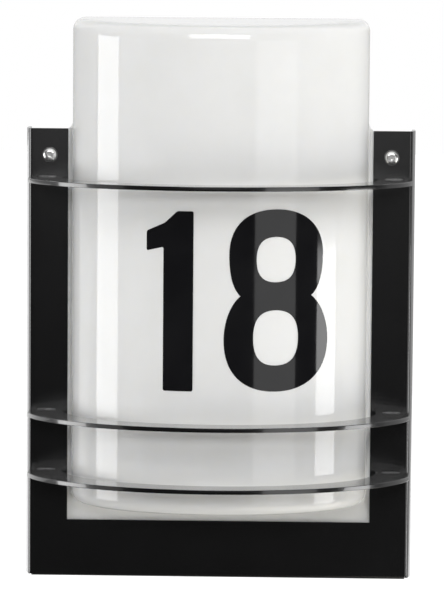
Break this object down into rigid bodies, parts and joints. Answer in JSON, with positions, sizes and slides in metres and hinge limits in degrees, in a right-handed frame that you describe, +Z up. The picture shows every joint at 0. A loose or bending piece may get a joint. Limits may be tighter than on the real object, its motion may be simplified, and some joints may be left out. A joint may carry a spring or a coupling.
{
  "type": "illuminated house number sign",
  "caption": "Wall light with a U-shaped black sheet-metal cover, bowed fins and a half-oval opal diffuser for a house number, lit by a screw-in lamp.",
  "frame": {"origin": "centre of the four wall slots, on the rear face that lies on the wall", "axes": "+Z up along the wall, +Y into the wall, -Y out towards the viewer, +X to the viewer's right"},
  "size_m": [0.266, 0.114, 0.3855],
  "materials": {
    "black_paint": "semi-gloss black powder coat",
    "opal_acrylic": "glossy opal white moulding, translucent",
    "white_casting": "white painted die casting",
    "stainless_steel": "plain stainless steel",
    "polished_steel": "polished stainless steel",
    "brass": "plain brass",
    "nickel_brass": "nickel-plated brass",
    "black_rubber": "matt rubber",
    "grey_rubber": "matt silicone rubber",
    "porcelain": "glazed porcelain",
    "terminal_plastic": "matt moulded plastic",
    "lamp_plastic": "matt white plastic",
    "lamp_opal": "opal white plastic",
    "lamp_metal": "bare aluminium",
    "insulator_black": "glossy black glass compound",
    "board_white": "white-coated circuit board with chips",
    "earth_sleeve": "green insulation",
    "live_sleeve": "brown insulation",
    "neutral_sleeve": "blue insulation"
  },
  "bodies": {
    "base": {"wall_base": "white_casting", "diffuser_seal": "grey_rubber", "hook_pins": "stainless_steel", "cover_posts": "stainless_steel", "cable_grommet": "black_rubber", "lampholder_bracket": "stainless_steel", "bracket_screws": "stainless_steel", "lampholder_body": "porcelain", "lampholder_screws": "stainless_steel", "lampholder_shell": "nickel_brass", "lampholder_contact": "brass", "terminal_block": "terminal_plastic", "terminal_inserts": "brass", "terminal_screws": "stainless_steel", "terminal_fixing_screw": "stainless_steel", "earth_stud": "brass", "earth_lug": "nickel_brass", "earth_nut": "stainless_steel", "earth_lead": "earth_sleeve", "live_lead": "live_sleeve", "neutral_lead": "neutral_sleeve"},
    "cover": {"front_frame": "black_paint", "upper_fin": "black_paint", "middle_fin": "black_paint", "lower_fin": "black_paint", "diffuser": "opal_acrylic", "clip_studs": "stainless_steel", "diffuser_clips": "stainless_steel", "clip_nuts": "stainless_steel"},
    "lamp": {"lamp_contact": "nickel_brass", "lamp_insulator": "insulator_black", "lamp_cap": "lamp_metal", "lamp_body": "lamp_plastic", "lamp_bowl": "lamp_opal", "led_board": "board_white"},
    "left_screw_ring": {"left_screw_washer": "stainless_steel", "left_retaining_ring": "stainless_steel"},
    "left_screw": {"left_cover_screw": "polished_steel"},
    "right_screw_ring": {"right_screw_washer": "stainless_steel", "right_retaining_ring": "stainless_steel"},
    "right_screw": {"right_cover_screw": "polished_steel"}
  },
  "joints": [
    {"name": "cover_tilt", "type": "hinge", "parent": "base", "child": "cover", "pos_m": [0, -0.008, -0.18], "axis": [1, 0, 0], "range_deg": [0, 35]},
    {"name": "lamp_turn", "type": "hinge", "parent": "base", "child": "lamp", "pos_m": [0, -0.046, 0], "axis": [0, 0, 1], "range_deg": [0, 1080]},
    {"name": "left_screw_travel", "type": "slide", "parent": "cover", "child": "left_screw_ring", "axis": [0, -1, 0], "range_m": [0, 0.0064]},
    {"name": "left_screw_turn", "type": "hinge", "parent": "left_screw_ring", "child": "left_screw", "pos_m": [-0.1167, -0.025, 0.1015], "axis": [0, -1, 0], "range_deg": [0, 2880]},
    {"name": "right_screw_travel", "type": "slide", "parent": "cover", "child": "right_screw_ring", "axis": [0, -1, 0], "range_m": [0, 0.0064]},
    {"name": "right_screw_turn", "type": "hinge", "parent": "right_screw_ring", "child": "right_screw", "pos_m": [0.1167, -0.025, 0.1015], "axis": [0, -1, 0], "range_deg": [0, 2880]}
  ],
  "couplings": [
    {"joint": "left_screw_turn", "follows": "left_screw_travel", "rad_per_m": 7854},
    {"joint": "right_screw_turn", "follows": "right_screw_travel", "rad_per_m": 7854}
  ]
}
